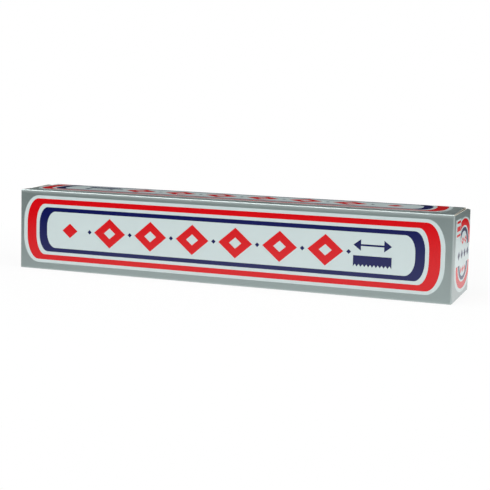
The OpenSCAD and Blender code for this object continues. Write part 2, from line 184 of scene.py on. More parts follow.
class Shader(Graph):
    """A material with one Principled shader and helpers for its patterns."""

    def __init__(self, name: str) -> None:
        """Makes an empty node material."""
        self.material = bpy.data.materials.new(name)
        self.material.use_nodes = True
        super().__init__(self.material.node_tree)
        coordinates = self.tree.nodes.new("ShaderNodeTexCoord")
        self.place = Wire(self, coordinates.outputs["Object"])

    def vector_maths(self, operation: str, first: Wire, second: Optional[Triple] = None) -> Wire:
        """Returns a Vector Math node's result, which is a number for LENGTH."""
        output = "Value" if operation == "LENGTH" else "Vector"
        return self.node("ShaderNodeVectorMath", {"operation": operation}, {0: first, 1: second}, output)

    def noise(self, scale: float, detail: float = 2.0, stretch: Optional[Triple] = None,
              rough: float = 0.5) -> Wire:
        """Returns a noise from 0 to 1 on the object's coordinates.

        Args:
            scale: waves to the metre.
            detail: number of finer layers.
            stretch: factors on the coordinates along x, y and z.
            rough: strength of the finer layers.

        Returns:
            The noise value.
        """
        place = self.place
        if stretch:
            place = self.node("ShaderNodeMapping", {}, {"Vector": place, "Scale": stretch})
        return self.node("ShaderNodeTexNoise", {},
                         {"Vector": place, "Scale": scale, "Detail": detail, "Roughness": rough})

    def blend(self, share: Value, low: Union[Wire, Colour], high: Union[Wire, Colour]) -> Wire:
        """Returns a colour between low and high."""
        solid = [value if isinstance(value, Wire) else (*value, 1.0) for value in (low, high)]
        return self.node("ShaderNodeMix", {"data_type": "RGBA"}, {0: share, 6: solid[0], 7: solid[1]}, 2)

    def bump(self, height: Wire, depth: float, under: Optional[Wire] = None) -> Wire:
        """Returns a normal that is bent by a height from 0 to 1 over that depth in metres."""
        return self.node("ShaderNodeBump", {},
                         {"Strength": 1.0, "Distance": depth, "Height": height, "Normal": under})

    def surface(self, **values: Union[Wire, float, Colour]) -> bpy.types.Material:
        """Ends the material in a Principled shader.

        Args:
            values: input names, with an underscore for each space, and their values.

        Returns:
            The finished material.
        """
        inputs = {}
        for name, value in values.items():
            is_colour = isinstance(value, tuple) and len(value) == 3
            inputs[name.replace("_", " ")] = (*value, 1.0) if is_colour else value
        shader = self.node("ShaderNodeBsdfPrincipled", {}, inputs)
        self.node("ShaderNodeOutputMaterial", {}, {"Surface": shader})
        return self.material


@dataclass(frozen=True)
class Gloss:
    """Varnish over the print: constant over the surface, so it is set on the shader alone."""

    coat: float = 0.7
    coat_ior: float = 1.55
    coat_roughness: float = 0.10
    roughness: float = 0.42
    specular: float = 0.0
    wave_scale: float = 22.0
    wave_stretch: Triple = (0.35, 1.0, 1.0)
    wave_depth: float = 0.00002
    peel_scale: float = 900.0
    peel_depth: float = 0.0000035
    grain_scale: float = 2600.0

    def varnish(self, shader: Shader) -> dict[str, Value]:
        """Returns the inputs that all printed card shares, with its slack waves and fine orange peel."""
        wave = shader.bump(shader.noise(self.wave_scale, 1.0, self.wave_stretch), self.wave_depth)
        return {
            "Specular_IOR_Level": self.specular,
            "Coat_Weight": self.coat,
            "Coat_IOR": self.coat_ior,
            "Coat_Roughness": self.coat_roughness,
            "Normal": shader.bump(shader.noise(self.peel_scale, 2.0), self.peel_depth, under=wave),
        }


@dataclass(frozen=True)
class SilverCard:
    """Outside of the card: silver-grey ink under varnish, paler along the folds with a painted highlight
    and real scuffs.
    """

    grey: Colour = (0.305, 0.372, 0.365)
    light: Colour = (0.375, 0.448, 0.441)
    # Paler colour on the folds and how strongly it lies there: an even painted highlight on every fold
    # plus real flaked scuffs.
    scuff_and_sheen: Colour = (0.66, 0.72, 0.71)
    metallic: float = 0.66
    fold_sheen_and_wear: float = 0.26
    flaked: float = 0.14
    gloss: Gloss = field(default_factory=Gloss)

    def build(self) -> bpy.types.Material:
        """Returns the printed card material."""
        shader = Shader("silver_card")
        mottle = shader.noise(60.0, 4.0)
        grain = shader.noise(self.gloss.grain_scale, 2.0)
        ground = shader.blend(mottle * 0.35 + grain * 0.25, self.grey, self.light)
        crease = shader.node("ShaderNodeAttribute", {"attribute_name": "crease"}, {}, "Fac")
        flakes = shader.noise(420.0, 5.0, None, 0.7).ramp(0.56, 0.74)
        # Paler along the folds: a painted highlight where the card turns, plus real scuffs in flakes.
        worn_and_sheen = crease * (self.fold_sheen_and_wear + flakes * self.flaked)
        return shader.surface(
            Base_Color=shader.blend(worn_and_sheen, ground, self.scuff_and_sheen),
            Metallic=self.metallic - worn_and_sheen * 0.4,
            Roughness=self.gloss.roughness + mottle * 0.06 + worn_and_sheen * 0.2,
            **self.gloss.varnish(shader),
        )


@dataclass(frozen=True)
class PrintedField:
    """A field of glossy ink on the card."""

    name: str
    colour: Colour
    mottled: Colour
    gloss: Gloss = field(default_factory=Gloss)

    def build(self) -> bpy.types.Material:
        """Returns the ink's material."""
        shader = Shader(self.name)
        mottle = shader.noise(70.0, 4.0)
        grain = shader.noise(self.gloss.grain_scale, 2.0)
        return shader.surface(
            Base_Color=shader.blend(mottle * 0.6 + grain * 0.4, self.colour, self.mottled),
            Roughness=self.gloss.roughness + mottle * 0.06,
            **self.gloss.varnish(shader),
        )


@dataclass(frozen=True)
class RawBoard:
    """Uncoated inside of the card, or a raw paper: grey pulp with fibres and flecks."""

    name: str
    pulp: Colour
    fibre: Colour
    fleck: Colour
    nap: float = 0.00004

    def build(self) -> bpy.types.Material:
        """Returns the board's material."""
        shader = Shader(self.name)
        cloud = shader.noise(180.0, 5.0)
        thread = shader.noise(900.0, 4.0, (0.25, 1.0, 1.0), 0.65)
        spots = shader.noise(1500.0, 1.0).ramp(0.68, 0.74)
        base = shader.blend(cloud * 0.5 + thread * 0.5, self.pulp, self.fibre)
        return shader.surface(
            Base_Color=shader.blend(spots * 0.6, base, self.fleck),
            Roughness=0.82 + thread * 0.1,
            Normal=shader.bump(thread * 0.7 + cloud * 0.3, self.nap),
        )


@dataclass(frozen=True)
class SpiralPaper:
    """Paper of the core tube, with the seam of its spiral winding."""

    pulp: Colour = (0.46, 0.34, 0.215)
    fibre: Colour = (0.38, 0.27, 0.165)
    shade: Colour = (0.19, 0.135, 0.0825)
    lead: float = 0.055
    seam_width: float = 0.012
    seam_depth: float = 0.0001

    def build(self, centre: Vector) -> bpy.types.Material:
        """Returns the core's material for a tube along X through that centre."""
        shader = Shader("spiral_paper")
        along, across, up = shader.parts(shader.place)
        turn = (up - centre.z).maths("ARCTAN2", across - centre.y) * (0.5 / math.pi)
        thread = (along * (1 / self.lead) + turn).maths("FRACT")
        seam = (thread - 0.5).maths("ABSOLUTE").ramp(self.seam_width, self.seam_width / 3)
        fibres = shader.noise(700.0, 5.0, None, 0.65)
        base = shader.blend(fibres, self.pulp, self.fibre)
        return shader.surface(
            Base_Color=shader.blend(seam * 0.7, base, self.shade),
            Roughness=0.8 + fibres * 0.12,
            Normal=shader.bump(fibres * 0.3 + (1.0 - seam) * 0.7, self.seam_depth),
        )


@dataclass(frozen=True)
class RolledMetal:
    """Bright metal with fine lines from the rollers; foil is crinkled by its winding too."""

    name: str
    first: Colour
    second: Colour
    line_scale: float
    line_stretch: Triple
    line_depth: float
    cloud_scale: float
    line_share: float
    smooth: float
    brushed: float
    crinkle_depth: float = 0.0

    def build(self) -> bpy.types.Material:
        """Returns the metal's material."""
        shader = Shader(self.name)
        lines = shader.noise(self.line_scale, 3.0, self.line_stretch)
        cloud = shader.noise(self.cloud_scale, 3.0)
        tone = lines * self.line_share + cloud * (1 - self.line_share)
        crinkles = None
        if self.crinkle_depth:
            crinkles = shader.bump(shader.noise(150.0, 3.0, (0.4, 1.0, 1.0), 0.6), self.crinkle_depth)
        return shader.surface(
            Base_Color=shader.blend(tone, self.first, self.second),
            Metallic=1.0,
            Roughness=self.smooth + lines * self.brushed + cloud * 0.05,
            Normal=shader.bump(lines, self.line_depth, under=crinkles),
        )


@dataclass
class Finishes:
    """Every material of the part, made once."""

    silver: bpy.types.Material = field(init=False)
    board: bpy.types.Material = field(init=False)
    edge: bpy.types.Material = field(init=False)
    foil: bpy.types.Material = field(init=False)
    steel: bpy.types.Material = field(init=False)
    inks: dict[Ink, bpy.types.Material] = field(init=False)

    def __post_init__(self) -> None:
        """Builds the materials."""
        self.silver = SilverCard().build()
        self.board = RawBoard(
            "raw_board", (0.42, 0.39, 0.34), (0.33, 0.31, 0.27), (0.18, 0.16, 0.14)).build()
        self.edge = RawBoard(
            "cut_edge", (0.68, 0.66, 0.57), (0.56, 0.53, 0.45), (0.36, 0.33, 0.28)).build()
        self.foil = RolledMetal(
            "rolled_foil", (0.84, 0.85, 0.86), (0.70, 0.71, 0.72), line_scale=1400.0,
            line_stretch=(1.0, 0.02, 0.02), line_depth=0.000012, cloud_scale=45.0, line_share=0.7,
            smooth=0.13, brushed=0.09, crinkle_depth=0.0007).build()
        self.steel = RolledMetal(
            "strip_steel", (0.62, 0.63, 0.64), (0.74, 0.75, 0.76), line_scale=3000.0,
            line_stretch=(0.02, 1.0, 1.0), line_depth=0.000008, cloud_scale=50.0, line_share=0.6,
            smooth=0.24, brushed=0.12).build()
        colours = {
            Ink.WHITE: ((0.565, 0.65, 0.648), (0.54, 0.625, 0.623)),
            Ink.RED: ((0.625, 0.0022, 0.0055), (0.575, 0.002, 0.006)),
            Ink.NAVY: ((0.0035, 0.006, 0.072), (0.005, 0.008, 0.086)),
            Ink.PALE: ((0.56, 0.648, 0.648), (0.53, 0.618, 0.618)),
        }
        self.inks = {ink: PrintedField(f"ink_{ink.value}", *pair).build() for ink, pair in colours.items()}


def plain_object(name: str, mesh: bpy.types.Mesh) -> bpy.types.Object:
    """Returns a new object at the origin that shows that mesh."""
    made = bpy.data.objects.new(name, mesh)
    bpy.context.scene.collection.objects.link(made)
    return made


def settle(piece: bpy.types.Object, sharp_deg: float = 35.0) -> bpy.types.Object:
    """Turns a piece with live modifiers into a plain mesh.

    Args:
        piece: the object; it is replaced.
        sharp_deg: edges that turn further than this stay sharp.

    Returns:
        A new object of the same name with no modifiers.
    """
    name = piece.name
    depsgraph = bpy.context.evaluated_depsgraph_get()
    mesh = bpy.data.meshes.new_from_object(piece.evaluated_get(depsgraph))
    bpy.data.objects.remove(piece)
    soften(mesh, sharp_deg)
    mesh.name = name
    return plain_object(name, mesh)


def soften(mesh: bpy.types.Mesh, sharp_deg: float) -> None:
    """Shades a mesh smooth but for edges that turn further than that angle."""
    work = bmesh.new()
    work.from_mesh(mesh)
    for face in work.faces:
        face.smooth = True
    for edge in work.edges:
        turned = edge.calc_face_angle(math.pi) if edge.is_manifold else math.pi
        edge.smooth = turned < math.radians(sharp_deg)
    work.to_mesh(mesh)
    work.free()


def fresh_mesh(work: bmesh.types.BMesh, name: str, *materials: bpy.types.Material) -> bpy.types.Mesh:
    """Returns a new mesh with those materials from a work mesh, which is freed."""
    mesh = bpy.data.meshes.new(name)
    work.to_mesh(mesh)
    work.free()
    for material in materials:
        mesh.materials.append(material)
    return mesh


def spot(centre: Vector, x: float, reach: float, turn: float) -> Vector:
    """Returns a point at that reach and turn about the roll's axis."""
    return Vector((x, centre.y + reach * math.cos(turn), centre.z + reach * math.sin(turn)))


def tube(work: bmesh.types.BMesh, name: str, material: bpy.types.Material) -> bpy.types.Object:
    """Returns a closed work mesh as a finished piece; the work mesh is freed."""
    bmesh.ops.recalc_face_normals(work, faces=work.faces)
    mesh = fresh_mesh(work, name, material)
    soften(mesh, TUBE_SHARP_DEG)
    return plain_object(name, mesh)


def skin(work: bmesh.types.BMesh, rows: Sequence[Sequence[bmesh.types.BMVert]]) -> None:
    """Adds the faces between rows of equally many vertices, each row a loop."""
    for low, high in zip(rows, rows[1:]):
        for j in range(len(low)):
            k = (j + 1) % len(low)
            work.faces.new((low[j], low[k], high[k], high[j]))


def arc(centre: Pair, radius: float, start_deg: float, stop_deg: float, steps: int = 7) -> list[Pair]:
    """Returns points on an arc, both ends included."""
    turns = (math.radians(start_deg + (stop_deg - start_deg) * i / steps) for i in range(steps + 1))
    return [(centre[0] + radius * math.cos(t), centre[1] + radius * math.sin(t)) for t in turns]


def levels(low: float, high: float) -> list[float]:
    """Returns places across a panel, with a guard line beside each fold."""
    room = high - low - 2 * GUARD
    return [low] + [low + GUARD + room * i / PANEL_STEPS for i in range(PANEL_STEPS + 1)] + [high]


@dataclass(frozen=True)
class CartonSizes:
    """Sizes of the carton in metres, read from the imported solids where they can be."""

    half_len: float
    lid_half: float
    y_front: float
    y_rear: float
    y_back: float
    top: float
    rear_top: float
    lip_low: float
    flap_reach: float
    splay: float
    card: float = 0.5 * MM
    fold: float = 1.1 * MM
    slit: float = 0.4 * MM
    corner: float = 1.5 * MM
    skew: float = 1.2 * MM
    flap_start: float = 0.25 * MM
    flap_cut: float = 10.5 * MM
    flap_cut_depth: float = 1.6 * MM
    flap_low: float = 0.4 * MM
    flap_drop: float = 0.6 * MM
    bottom_flap: float = 38 * MM
    dust_flap: float = 36 * MM
    lip_corner: float = 3.0 * MM
    crease_gap: float = 0.03 * MM

    @classmethod
    def from_frame(cls) -> "CartonSizes":
        """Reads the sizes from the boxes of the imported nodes."""
        tray_low, tray_high = (Vector(c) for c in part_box("carton_tray"))
        lid_low, lid_high = (Vector(c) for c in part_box("carton_lid"))
        blade_low, _ = (Vector(c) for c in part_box("cutter_blade"))
        lid_end_clear, lip_clear, mouth_drop = 0.5 * MM, 0.3 * MM, 3.0 * MM
        half_len = lid_high.x + lid_end_clear
        return cls(
            half_len=half_len,
            lid_half=lid_high.x,
            y_front=tray_low.y,
            y_rear=blade_low.y - lip_clear,
            y_back=lid_high.y,
            top=lid_high.z,
            rear_top=lid_high.z - mouth_drop,
            lip_low=lid_low.z,
            flap_reach=tray_high.y,
            splay=tray_high.x - half_len,
        )

    @property
    def y_hinge(self) -> float:
        """Line on which the lid turns."""
        return self.y_front + self.fold


class CardSheet:
    """Folded card as quads of its printed face; the thickness is added at the end."""

    def __init__(self, name: str, finishes: Finishes) -> None:
        """Starts an empty sheet."""
        self.name = name
        self.finishes = finishes
        self.places: dict[tuple[int, ...], int] = {}
        self.points: list[Vector] = []
        self.creases: list[float] = []
        self.quads: list[tuple[int, ...]] = []

    def dot(self, point: Vector, crease: float) -> int:
        """Returns the number of the vertex at that point, made if it is new."""
        key = tuple(round(c * 1e7) for c in point)
        if key not in self.places:
            self.places[key] = len(self.points)
            self.points.append(point)
            self.creases.append(crease)
        return self.places[key]

    def patch(self, rows: Sequence[Sequence[Dot]]) -> None:
        """Adds the quads between rows of equally many points."""
        numbers = [[self.dot(*place) for place in row] for row in rows]
        for low, high in zip(numbers, numbers[1:]):
            for i in range(len(low) - 1):
                corners = tuple(dict.fromkeys((low[i], low[i + 1], high[i + 1], high[i])))
                if len(corners) > 2:
                    self.quads.append(corners)

    def thicken(self, card: float, outward: Vector, probe: Vector) -> bpy.types.Object:
        """Gives the sheet its thickness.

        Args:
            card: thickness of the card.
            outward: direction in which the printed face looks at the probe.
            probe: a point near one printed face.

        Returns:
            The finished piece, with printed, raw and cut faces in their slots.
        """
        mesh = bpy.data.meshes.new(self.name)
        mesh.from_pydata([tuple(p) for p in self.points], [], self.quads)
        # The crease mark tells the card's shader where to paint the fold highlight and the scuffs.
        layer = mesh.attributes.new("crease", "FLOAT", "POINT")
        layer.data.foreach_set("value", self.creases)
        work = bmesh.new()
        work.from_mesh(mesh)
        bmesh.ops.recalc_face_normals(work, faces=work.faces)
        nearest = min(work.faces, key=lambda f: (f.calc_center_median() - probe).length)
        if nearest.normal.dot(outward) < 0:
            bmesh.ops.reverse_faces(work, faces=work.faces)
        work.to_mesh(mesh)
        work.free()
        for material in (self.finishes.silver, self.finishes.board, self.finishes.edge):
            mesh.materials.append(material)
        piece = plain_object(self.name, mesh)
        shell = piece.modifiers.new("card", "SOLIDIFY")
        shell.thickness = card
        shell.offset = -1.0
        shell.use_even_offset = True
        shell.material_offset = Face.RAW.value
        shell.material_offset_rim = Face.CUT.value
        return settle(piece)


@dataclass(frozen=True)
class EndFlap:
    """A flap folded round from the end of one wall, drawn on the right-hand side."""

    base: Vector
    inward: Vector
    cross: Vector
    fold_start: float
    fold: float
    splay_turn: float
    columns: Sequence[Triple]
    mitred: bool = False

    def rows(self, lines: Sequence[float], side: int) -> list[list[Dot]]:
        """Returns the points of the flap, column by column.

        Args:
            lines: places of the wall's own points across the fold.
            side: 1 for the right end, -1 for the left.

        Returns:
            One row for each column of the flap, from the wall outwards.
        """
        low, high = lines[0], lines[-1]
        shares = [(line - low) / (high - low) for line in lines]
        profile = []
        turned = math.pi / 2 - self.splay_turn
        for i in range(FOLD_STEPS + 1):
            turn = turned * i / FOLD_STEPS
            # Fold mark for the painted fold highlight and the scuffs: full round the fold, less at its
            # ends.
            fold_sheen_and_wear = 1.0 if 0 < i < FOLD_STEPS else 0.4
            along = self.fold_start + self.fold * math.sin(turn)
            depth = self.fold * (1 - math.cos(turn))
            grown = self.fold * math.sin(turn) if self.mitred else 0.0
            start = max(low - grown, min(self.columns[0][1], low))
            stop = min(high + grown, max(self.columns[0][2], high))
            profile.append((along, depth, start, stop, fold_sheen_and_wear))
        for reach, start, stop in self.columns:
            along = self.fold_start + self.fold * math.sin(turned) + reach * math.sin(self.splay_turn)
            depth = self.fold * (1 - math.cos(turned)) + reach * math.cos(self.splay_turn)
            profile.append((along, depth, start, stop, 0.0))
        return [[(self.at(side, along, depth, start + (stop - start) * share), fold_sheen_and_wear) for share in shares]
                for along, depth, start, stop, fold_sheen_and_wear in profile]

    def at(self, side: int, along: float, depth: float, line: float) -> Vector:
        """Returns the point at that distance along X, depth behind the wall and place across."""
        return self.base + Vector((side * along, 0, 0)) + self.inward * depth + self.cross * line


@dataclass
class CartonTray:
    """The folded tray: hinge wall, base, rear wall and the layered end closures."""

    sizes: CartonSizes
    finishes: Finishes

    def stations(self, reach: float) -> list[float]:
        """Returns places along X, out to reach at both ends, shared by the walls."""
        s = self.sizes
        ends = [s.half_len - s.fold - i * s.card for i in (2, 1, 0)]
        inner = [i * STATION_PITCH for i in range(STATION_COUNT)] + [ends[0] - END_GUARD]
        right = [x for x in inner + ends if x <= reach + 1e-7]
        return sorted({-x for x in right} | set(right))

    def wall(self, sheet: CardSheet, section: Sequence[Triple], reach: float) -> None:
        """Adds a wall or fold whose section is drawn as depth, height and crease."""
        lines = self.stations(reach)
        sheet.patch([[(Vector((x, y, z)), crease) for x in lines] for y, z, crease in section])

    def corners(self, sheet: CardSheet, section: Sequence[Pair], reach: float) -> None:
        """Runs a long fold of the front wall on to the corners, mitred with the upright folds."""
        s = self.sizes
        for side in (1, -1):
            rows = []
            for y, z in section:
                rise = math.sqrt(max(s.fold ** 2 - (s.y_hinge - y) ** 2, 0.0))
                stop = min(s.half_len - s.fold + rise, s.lid_half)
                rows.append([(Vector((side * x, y, z)), 1.0) for x in (reach, stop)])
            sheet.patch(rows)

    def build(self) -> bpy.types.Object:
        """Returns the tray as one piece."""
        s = self.sizes
        sheet = CardSheet("tray_card", self.finishes)
        reach = [s.half_len - s.fold - i * s.card for i in (0, 1, 2)]
        hinge_fold = arc((s.y_hinge, s.top - s.fold), s.fold, 90, 180)
        front_fold = arc((s.y_hinge, s.fold), s.fold, 180, 270)
        rear_fold = arc((s.y_rear - s.fold, s.fold), s.fold, 270, 360)
        front_lines = levels(s.fold, s.top - s.fold)
        bottom_lines = levels(s.y_hinge, s.y_rear - s.fold)
        slot_low = s.card + s.slit + s.corner
        rear_lines = [s.fold] + levels(slot_low, s.rear_top - s.slit - s.corner) + [s.rear_top]
        self.wall(sheet, [(y, z, 1.0) for y, z in hinge_fold], reach[0])
        self.corners(sheet, hinge_fold, reach[0])
        self.wall(sheet, [(s.y_front, z, 0.0) for z in front_lines], reach[0])
        self.wall(sheet, [(y, z, 1.0) for y, z in front_fold], reach[1])
        self.corners(sheet, front_fold, reach[1])
        self.wall(sheet, [(y, 0.0, 0.0) for y in bottom_lines], reach[1])
        self.wall(sheet, [(y, z, 1.0) for y, z in rear_fold], reach[2])
        self.wall(sheet, [(s.y_rear, z, 0.0) for z in rear_lines], reach[2])
        for flap, lines in ((self.outer_flap(), front_lines), (self.bottom_flap(), bottom_lines),
                            (self.dust_flap(), rear_lines[1:-1])):
            for side in (1, -1):
                sheet.patch(flap.rows(lines, side))
        return sheet.thicken(s.card, Vector((0, -1, 0)), Vector((0, s.y_front, s.top / 2)))

    def outer_flap(self) -> EndFlap:
        """Returns the outer flap, hinged on the front wall and standing off at its free edge."""
        s = self.sizes
        turn = math.atan2(s.splay, s.flap_reach - s.y_hinge)
        length = math.hypot(s.splay, s.flap_reach - s.y_hinge)
        low, high, corner = s.flap_low, s.top - s.flap_drop, s.corner
        cut_start = length - s.flap_cut
        head = high + s.skew * cut_start / length
        spans = [s.flap_start] + [cut_start * share for share in (0.25, 0.5, 0.75, 1.0)]
        columns = [(u, low + s.skew * u / length, high + s.skew * u / length) for u in spans]
        for u, rise in ((length - corner, 0.0), (length - corner / 3, corner / 3), (length, corner)):
            cut = s.flap_cut_depth * (u - cut_start) / s.flap_cut
            columns.append((u, low + s.skew + rise, head - cut))
        return EndFlap(Vector((0, s.y_front, 0)), Vector((0, 1, 0)), Vector((0, 0, 1)),
                       s.half_len - s.fold, s.fold, turn, columns, mitred=True)

    def bottom_flap(self) -> EndFlap:
        """Returns the flap folded up from the base inside the outer one."""
        s = self.sizes
        wide = (s.y_rear - s.y_front) / 2 - s.card - s.slit
        middle = (s.y_rear + s.y_front) / 2
        narrow = wide - 2 * s.corner
        columns = [(2 * s.corner, middle - wide, middle + wide),
                   (s.bottom_flap - s.corner, middle - narrow, middle + narrow),
                   (s.bottom_flap, middle - narrow + s.corner, middle + narrow - s.corner)]
        return EndFlap(Vector((0, 0, 0)), Vector((0, 0, 1)), Vector((0, 1, 0)),
                       s.half_len - s.card - s.fold, s.fold, 0.0, columns)

    def dust_flap(self) -> EndFlap:
        """Returns the innermost flap, folded in from the rear wall."""
        s = self.sizes
        low, high = s.card + s.slit, s.rear_top - s.slit
        columns = [(s.corner, low, high), (s.dust_flap - s.corner, low, high),
                   (s.dust_flap, low + s.corner, high - s.corner)]
        return EndFlap(Vector((0, s.y_rear, 0)), Vector((0, -1, 0)), Vector((0, 0, 1)),
                       s.half_len - 2 * s.card - s.fold, s.fold, 0.0, columns)


@dataclass
class CartonLid:
    """The lid panel with its back fold and hanging lip."""

    sizes: CartonSizes
    finishes: Finishes

    def build(self) -> bpy.types.Object:
        """Returns the lid as one piece."""
        s = self.sizes
        sheet = CardSheet("lid_card", self.finishes)
        start = s.y_hinge + s.crease_gap
        stop = s.y_back - s.fold
        section = [(y, s.top, 0.0, s.lid_half) for y in levels(start, stop)]
        section[0] = (start, s.top, 1.0, s.lid_half)
        section += [(y, z, 1.0, s.lid_half) for y, z in arc((stop, s.top - s.fold), s.fold, 90, 0)[1:]]
        lip_rise = s.lip_low + s.lip_corner
        section += [(s.y_back, z, 0.0, s.lid_half) for z in levels(lip_rise, s.top - s.fold)[-2::-1]]
        for _, z in arc((0.0, lip_rise), s.lip_corner, 0, -90)[1:]:
            inset = s.lip_corner - math.sqrt(max(s.lip_corner ** 2 - (lip_rise - z) ** 2, 0.0))
            section.append((s.y_back, z, 0.0, s.lid_half - inset))
        shares = [i / 30 for i in range(-30, 31)]
        sheet.patch([[(Vector((half * share, y, z)), crease) for share in shares]
                     for y, z, crease, half in section])
        return sheet.thicken(s.card, Vector((0, 0, 1)), Vector((0, 0, s.top)))


@dataclass
class LidNavy:
    """The lid's navy print, its two short tabs on the back fold shown in white."""

    sizes: CartonSizes
    finishes: Finishes
    margin: float = 0.1 * MM

    def build(self, node: bpy.types.Object) -> bpy.types.Object:
        """Returns the navy print as a new piece.

        Args:
            node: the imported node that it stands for; it stays as it is.

        Returns:
            The piece, in which white is the second material.
        """
        fold_start = self.sizes.y_back - self.sizes.fold - self.margin
        work = bmesh.new()
        work.from_mesh(node.data)
        bmesh.ops.remove_doubles(work, verts=work.verts, dist=1e-7)
        for face in work.faces:
            face.material_index = int(all(v.co.y > fold_start for v in face.verts))
        inks = self.finishes.inks
        mesh = fresh_mesh(work, "lid_navy", inks[Ink.NAVY], inks[Ink.WHITE])
        soften(mesh, 20.0)
        return plain_object("lid_navy", mesh)


class ShapeNodes(Graph):
    """A Geometry Nodes tree with named inputs, run once on an object and turned into a plain mesh."""

    def __init__(self, name: str) -> None:
        """Starts a tree that takes and gives geometry."""
        tree = bpy.data.node_groups.new(name, "GeometryNodeTree")
        super().__init__(tree)
        tree.interface.new_socket("Geometry", in_out="INPUT", socket_type="NodeSocketGeometry")
        tree.interface.new_socket("Geometry", in_out="OUTPUT", socket_type="NodeSocketGeometry")
        self.entry = tree.nodes.new("NodeGroupInput")
        self.identifiers: dict[str, str] = {}
        self.values: dict[str, float] = {}

    def size(self, name: str, value: float, whole: bool = False) -> Wire:
        """Adds a named input.

        Args:
            name: the input's name.
            value: the value that this part gives it.
            whole: whether it is a whole number.

        Returns:
            The input's wire.
        """
        kind = "NodeSocketInt" if whole else "NodeSocketFloat"
        socket = self.tree.interface.new_socket(name, in_out="INPUT", socket_type=kind)
        self.identifiers[name] = socket.identifier
        self.values[name] = value
        return Wire(self, self.entry.outputs[name])

    def source(self) -> Wire:
        """Returns the geometry that the tree is given."""
        return Wire(self, self.entry.outputs["Geometry"])

    def vector(self, x: Value = 0.0, y: Value = 0.0, z: Value = 0.0) -> Wire:
        """Returns a vector of three values."""
        return self.node("ShaderNodeCombineXYZ", {}, {0: x, 1: y, 2: z})

    def close_real(self, shape: Wire, material: bpy.types.Material) -> None:
        """Ends a tree whose instances are already real in Set Material."""
        coloured = self.node("GeometryNodeSetMaterial", {}, {"Geometry": shape, "Material": material})
        self.node("NodeGroupOutput", {}, {"Geometry": coloured})

    def run(self, piece: bpy.types.Object, sharp_deg: float) -> bpy.types.Object:
        """Runs the tree on a piece and returns the result as a plain mesh."""
        maker = piece.modifiers.new("maker", "NODES")
        maker.node_group = self.tree
        for name, value in self.values.items():
            maker[self.identifiers[name]] = value
        return settle(piece, sharp_deg)


@dataclass
class CutterStrip:
    """Saw-toothed steel strip inside the lip: one tooth repeated along the strip."""

    finishes: Finishes
    pitch: float = 2.0 * MM
    tooth: float = 1.4 * MM
    bevel: float = 0.55
    shoulder: float = 0.35

    def cell(self, low: Vector, high: Vector) -> bpy.types.Object:
        """Returns one pitch of the strip, open at both sides so that its neighbours join on."""
        half = self.pitch / 2
        root, tip, top = low.z + self.tooth, low.z, high.z
        face, back = high.y, low.y
        ground = back + (face - back) * (1 - self.bevel)
        outline = [(-half, root), (0.0, tip), (half, root)]
        points = [Vector((x, y, top)) for x in (-half, half) for y in (back, face)]
        points += [Vector((x, face, z)) for x, z in outline]
        points += [Vector((x, ground if z == tip else back, z)) for x, z in outline]
        shoulder = root + self.tooth * self.shoulder
        points += [Vector((x, back, shoulder)) for x in (-half, half)]
        points += [Vector((x, face, shoulder)) for x in (-half, half)]
        quads = [(0, 2, 3, 1), (1, 3, 13, 12), (12, 13, 6, 5, 4), (0, 10, 11, 2), (10, 7, 8, 9, 11),
                 (4, 5, 8, 7), (5, 6, 9, 8)]
        mesh = bpy.data.meshes.new("cutter_strip")
        mesh.from_pydata([tuple(p) for p in points], [], quads)
        return plain_object("cutter_strip", mesh)

    def build(self) -> bpy.types.Object:
        """Returns the strip with its teeth, ground to an edge on the inner side."""
        low, high = (Vector(c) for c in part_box("cutter_blade"))
        count = round((high.x - low.x) / self.pitch)
        tree = ShapeNodes("toothed_strip")
        pitch = tree.size("Tooth pitch", self.pitch)
        teeth = tree.size("Teeth", count, whole=True)
        start = tree.vector((teeth - 1) * pitch * -0.5)
        line = tree.node("GeometryNodeMeshLine", {"mode": "OFFSET"},
                         {"Count": teeth, "Start Location": start, "Offset": tree.vector(pitch)})
        cells = tree.node("GeometryNodeInstanceOnPoints", {}, {"Points": line, "Instance": tree.source()})
        real = tree.node("GeometryNodeRealizeInstances", {}, {0: cells})
        welded = tree.node("GeometryNodeMergeByDistance", {}, {"Geometry": real, "Distance": 1e-6})
        tree.close_real(welded, self.finishes.steel)
        strip = tree.run(self.cell(low, high), 20.0)
        self.cap_ends(strip.data)
        return strip

    @staticmethod
    def cap_ends(mesh: bpy.types.Mesh) -> None:
        """Closes the two open ends of the strip."""
        work = bmesh.new()
        work.from_mesh(mesh)
        bmesh.ops.holes_fill(work, edges=[e for e in work.edges if e.is_boundary])
        bmesh.ops.recalc_face_normals(work, faces=work.faces)
        work.to_mesh(mesh)
        work.free()


